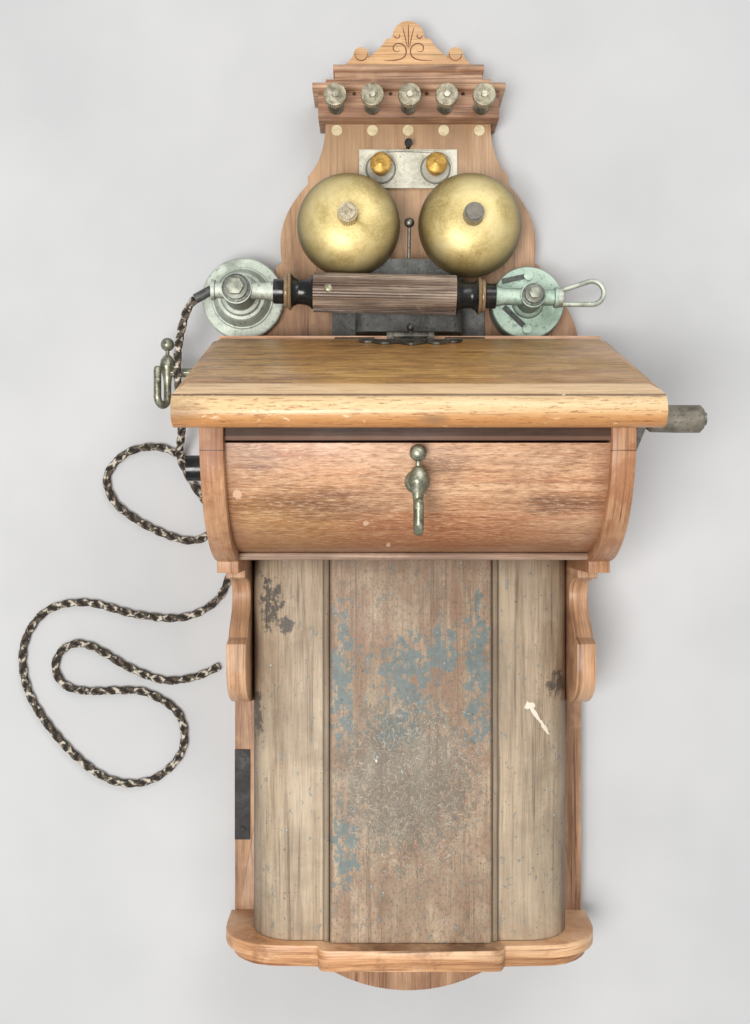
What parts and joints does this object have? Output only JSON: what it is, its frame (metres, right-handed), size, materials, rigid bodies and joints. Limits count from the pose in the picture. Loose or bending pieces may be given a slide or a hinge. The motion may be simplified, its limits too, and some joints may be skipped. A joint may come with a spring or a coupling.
{
  "type": "wall telephone",
  "caption": "Magneto wall telephone: carved backboard, twin bells, bow-fronted crank box with sloping lid, battery box, switch hook and handset on a cord",
  "frame": {"origin": "centre of the board's back face level with the foot of the crank box", "axes": "+X right as seen from the front, +Y up the board towards the crest, +Z out of the board; the part lies on its back and hangs on a wall with +Y up"},
  "size_m": [0.4653, 0.7004, 0.2297],
  "materials": {
    "walnut": "dark walnut, worn varnish",
    "carved_walnut": "carved walnut, lighter on the raised edges",
    "front_walnut": "red-brown varnished walnut",
    "lid_walnut": "golden-brown walnut with a pale bevel",
    "faded_walnut": "faded grey-beige walnut, stained",
    "gong_brass": "aged brass",
    "bright_brass": "polished brass",
    "nickel": "worn nickel plate",
    "steel": "plain steel",
    "magnet_iron": "dark red enamel",
    "ivory": "ivory, bare",
    "zinc": "dull zinc",
    "grey_paint": "chipped grey paint",
    "ebonite": "black, polished",
    "verdigris": "grey-green plated brass",
    "grip_brown": "ribbed brown",
    "handle_dark": "dark, worn",
    "winding_red": "silk-wound wire",
    "winding_green": "silk-wound wire",
    "cell_card": "card tube",
    "cord_braid": "plaited cotton with light flecks"
  },
  "bodies": {
    "case": {"backboard": "walnut", "crest": "carved_walnut", "cornice": "walnut", "terminal_block": "walnut", "terminal_posts": "nickel", "terminal_nuts": "nickel", "label_discs": "ivory", "arrester_plate": "zinc", "arrester_plugs": "bright_brass", "gong_left": "gong_brass", "gong_right": "gong_brass", "gong_posts": "steel", "gong_screws": "bright_brass", "ringer_frame": "steel", "ringer_coils": "winding_red", "ringer_cover": "grey_paint", "side_left": "walnut", "side_right": "walnut", "front_panel": "front_walnut", "top_rail": "front_walnut", "bottom_board": "walnut", "hinge_rail": "lid_walnut", "hinge_leaves": "steel", "magneto_frame": "steel", "magneto_magnets": "magnet_iron", "shaft_bush": "ebonite", "hook_bracket": "steel", "contact_springs": "bright_brass", "induction_coil": "winding_green", "cord_bush": "ebonite", "front_hook": "verdigris", "bracket_left": "walnut", "bracket_right": "walnut", "shelf": "faded_walnut", "dry_cells": "cell_card", "latch_plate": "steel", "wood_screws": "steel"},
    "lid": {"lid": "lid_walnut", "lid_leaves": "steel", "clip_base": "steel"},
    "clip": {"paper_clip": "steel"},
    "crank": {"crank_shaft": "steel", "drive_gear": "bright_brass", "crank_arm": "steel"},
    "handle": {"crank_handle": "handle_dark"},
    "armature": {"magneto_armature": "steel", "pinion": "bright_brass"},
    "hook": {"switch_hook": "verdigris"},
    "clapper": {"clapper": "steel"},
    "cover": {"battery_cover": "faded_walnut"},
    "handset": {"handset_grip": "grip_brown", "handset_ferrules": "ebonite", "transmitter_case": "verdigris", "receiver_case": "verdigris", "mouthpiece": "ebonite", "earpiece": "ebonite", "handset_nuts": "verdigris", "hanging_loop": "verdigris", "cord_ferrule": "verdigris", "cord": "cord_braid"}
  },
  "joints": [
    {"name": "lid_hinge", "type": "hinge", "parent": "case", "child": "lid", "pos_m": [0, 0.118, 0.06], "axis": [-1, 0, 0], "range_deg": [0, 40]},
    {"name": "clip_hinge", "type": "hinge", "parent": "lid", "child": "clip", "pos_m": [0, 0.11969, 0.07422], "axis": [-1, 0, 0], "range_deg": [0, 25], "stiffness_Nm_per_rad": 0.05},
    {"name": "crank_turn", "type": "hinge", "parent": "case", "child": "crank", "pos_m": [0.1, 0.035, 0.105], "axis": [1, 0, 0], "continuous": true},
    {"name": "handle_spin", "type": "hinge", "parent": "crank", "child": "handle", "pos_m": [0.1593, 0.05692, 0.14994], "axis": [1, 0, 0], "continuous": true},
    {"name": "armature_spin", "type": "hinge", "parent": "case", "child": "armature", "pos_m": [0.05, -0.007, 0.105], "axis": [1, 0, 0], "continuous": true},
    {"name": "hook_hinge", "type": "hinge", "parent": "case", "child": "hook", "pos_m": [-0.088, 0.093, 0.036], "axis": [0, 0, 1], "range_deg": [0, 8], "stiffness_Nm_per_rad": 0.8},
    {"name": "clapper_swing", "type": "hinge", "parent": "case", "child": "clapper", "pos_m": [0, 0.166, 0.034], "axis": [0, 0, 1], "range_deg": [-4, 4], "stiffness_Nm_per_rad": 0.02},
    {"name": "cover_lift", "type": "slide", "parent": "case", "child": "cover", "axis": [0, 0, 1], "range_m": [0, 0.12]},
    {"name": "handset_lift", "type": "slide", "parent": "case", "child": "handset", "axis": [0, 0, 1], "range_m": [0, 0.22]}
  ],
  "couplings": [
    {"joint": "armature_spin", "follows": "crank_turn", "ratio": -5}
  ]
}
